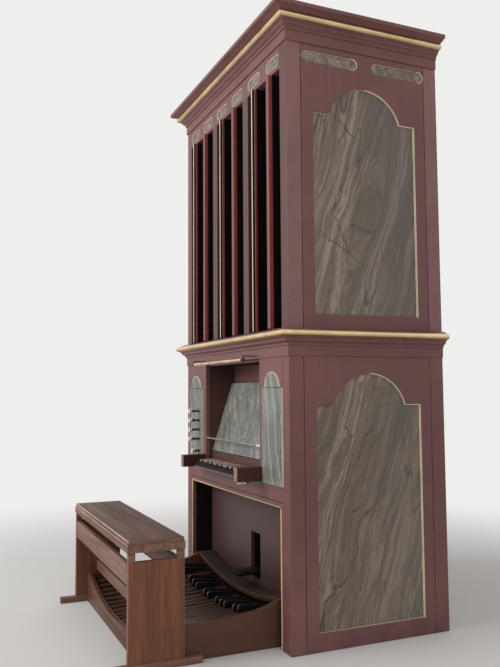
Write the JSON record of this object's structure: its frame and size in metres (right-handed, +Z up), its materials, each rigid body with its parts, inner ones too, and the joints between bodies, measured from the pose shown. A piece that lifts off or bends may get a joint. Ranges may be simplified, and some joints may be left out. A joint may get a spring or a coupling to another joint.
{
  "type": "pipe organ",
  "caption": "Small pipe organ in a tall painted case with gilt mouldings, swell shutters, one keyboard, stop knobs, dished pedalboard and oak bench.",
  "frame": {"origin": "middle of the bounding box of case, pedalboard and bench, on the floor", "axes": "+Z up, +Y from the player into the case, +X to the player's right"},
  "size_m": [1.76, 1.829, 3.284],
  "materials": {
    "mauve_paint": "satin paint, dull mauve red-brown, on wood",
    "marble_paint": "paint on wood, grey-green marbling with dark diagonal veins",
    "gilding": "worn gold leaf on wood",
    "oak": "waxed oak",
    "dark_stain": "dark stained wood",
    "black_wood": "polished black wood",
    "bone": "aged bone",
    "pipe_metal": "dull tin and lead",
    "lamp_brass": "aged brass",
    "dark_metal": "black paint"
  },
  "bodies": {
    "case": {"corner_posts": "mauve_paint", "lower_sides": "mauve_paint", "upper_sides": "mauve_paint", "side_panels": "marble_paint", "panel_rims": "gilding", "back_boards": "mauve_paint", "jambs": "mauve_paint", "jamb_panels": "marble_paint", "knee_frame": "mauve_paint", "knee_bead": "gilding", "knee_panel": "mauve_paint", "knee_walls": "dark_stain", "slot_box": "dark_stain", "niche_lining": "mauve_paint", "music_desk": "marble_paint", "music_rail": "gilding", "console_lamp": "lamp_brass", "lamp_arms": "dark_metal", "key_bed": "mauve_paint", "key_cheeks": "dark_stain", "cheek_switch": "bone", "nameboard": "mauve_paint", "natural_keys": "black_wood", "sharp_keys": "bone", "stop_rosettes": "black_wood", "mid_cornice": "mauve_paint", "mid_bead": "gilding", "deck": "dark_stain", "front_stiles": "mauve_paint", "header": "mauve_paint", "pills": "marble_paint", "pivot_rail": "dark_stain", "windchest": "oak", "pipe_rack": "oak", "pipes": "pipe_metal", "top_cornice": "mauve_paint", "top_bead": "gilding", "roof": "dark_stain", "pedal_cheeks": "oak", "pedal_rails": "oak", "pedal_combs": "dark_stain", "pedal_naturals": "oak", "pedal_sharps": "dark_stain", "bench_ends": "oak", "bench_rails": "oak", "bench_blocks": "oak", "bench_seat": "oak"},
    "shutter_1": {"shutter_1": "mauve_paint"},
    "shutter_2": {"shutter_2": "mauve_paint"},
    "shutter_3": {"shutter_3": "mauve_paint"},
    "shutter_4": {"shutter_4": "mauve_paint"},
    "shutter_5": {"shutter_5": "mauve_paint"},
    "shutter_6": {"shutter_6": "mauve_paint"},
    "stop_1": {"stop_knob_1": "black_wood"},
    "stop_2": {"stop_knob_2": "black_wood"},
    "stop_3": {"stop_knob_3": "black_wood"},
    "stop_4": {"stop_knob_4": "black_wood"},
    "stop_5": {"stop_knob_5": "black_wood"},
    "swell": {"swell_pedal": "dark_stain"}
  },
  "joints": [
    {"name": "shutter_1_turn", "type": "hinge", "parent": "case", "child": "shutter_1", "pos_m": [-0.598, 0.0375, 1.622], "axis": [0, 0, 1], "range_deg": [0, 90]},
    {"name": "shutter_2_turn", "type": "hinge", "parent": "case", "child": "shutter_2", "pos_m": [-0.39, 0.0375, 1.622], "axis": [0, 0, 1], "range_deg": [0, 90]},
    {"name": "shutter_3_turn", "type": "hinge", "parent": "case", "child": "shutter_3", "pos_m": [-0.104, 0.0375, 1.622], "axis": [0, 0, 1], "range_deg": [0, 90]},
    {"name": "shutter_4_turn", "type": "hinge", "parent": "case", "child": "shutter_4", "pos_m": [0.104, 0.0375, 1.622], "axis": [0, 0, 1], "range_deg": [0, 90]},
    {"name": "shutter_5_turn", "type": "hinge", "parent": "case", "child": "shutter_5", "pos_m": [0.39, 0.0375, 1.622], "axis": [0, 0, 1], "range_deg": [0, 90]},
    {"name": "shutter_6_turn", "type": "hinge", "parent": "case", "child": "shutter_6", "pos_m": [0.598, 0.0375, 1.622], "axis": [0, 0, 1], "range_deg": [0, 90]},
    {"name": "swell_pedal_tilt", "type": "hinge", "parent": "case", "child": "swell", "pos_m": [0.055, 0.1345, 0.232], "axis": [1, 0, 0], "range_deg": [0, 18]},
    {"name": "stop_1_draw", "type": "slide", "parent": "case", "child": "stop_1", "axis": [0, -1, 0], "range_m": [0, 0.018]},
    {"name": "stop_2_draw", "type": "slide", "parent": "case", "child": "stop_2", "axis": [0, -1, 0], "range_m": [-0.018, 0]},
    {"name": "stop_3_draw", "type": "slide", "parent": "case", "child": "stop_3", "axis": [0, -1, 0], "range_m": [-0.018, 0]},
    {"name": "stop_4_draw", "type": "slide", "parent": "case", "child": "stop_4", "axis": [0, -1, 0], "range_m": [-0.018, 0]},
    {"name": "stop_5_draw", "type": "slide", "parent": "case", "child": "stop_5", "axis": [0, -1, 0], "range_m": [-0.018, 0]}
  ],
  "couplings": [
    {"joint": "shutter_2_turn", "follows": "shutter_1_turn", "ratio": 1},
    {"joint": "shutter_3_turn", "follows": "shutter_1_turn", "ratio": 1},
    {"joint": "shutter_4_turn", "follows": "shutter_1_turn", "ratio": 1},
    {"joint": "shutter_5_turn", "follows": "shutter_1_turn", "ratio": 1},
    {"joint": "shutter_6_turn", "follows": "shutter_1_turn", "ratio": 1},
    {"joint": "swell_pedal_tilt", "follows": "shutter_1_turn", "ratio": 0.2}
  ]
}
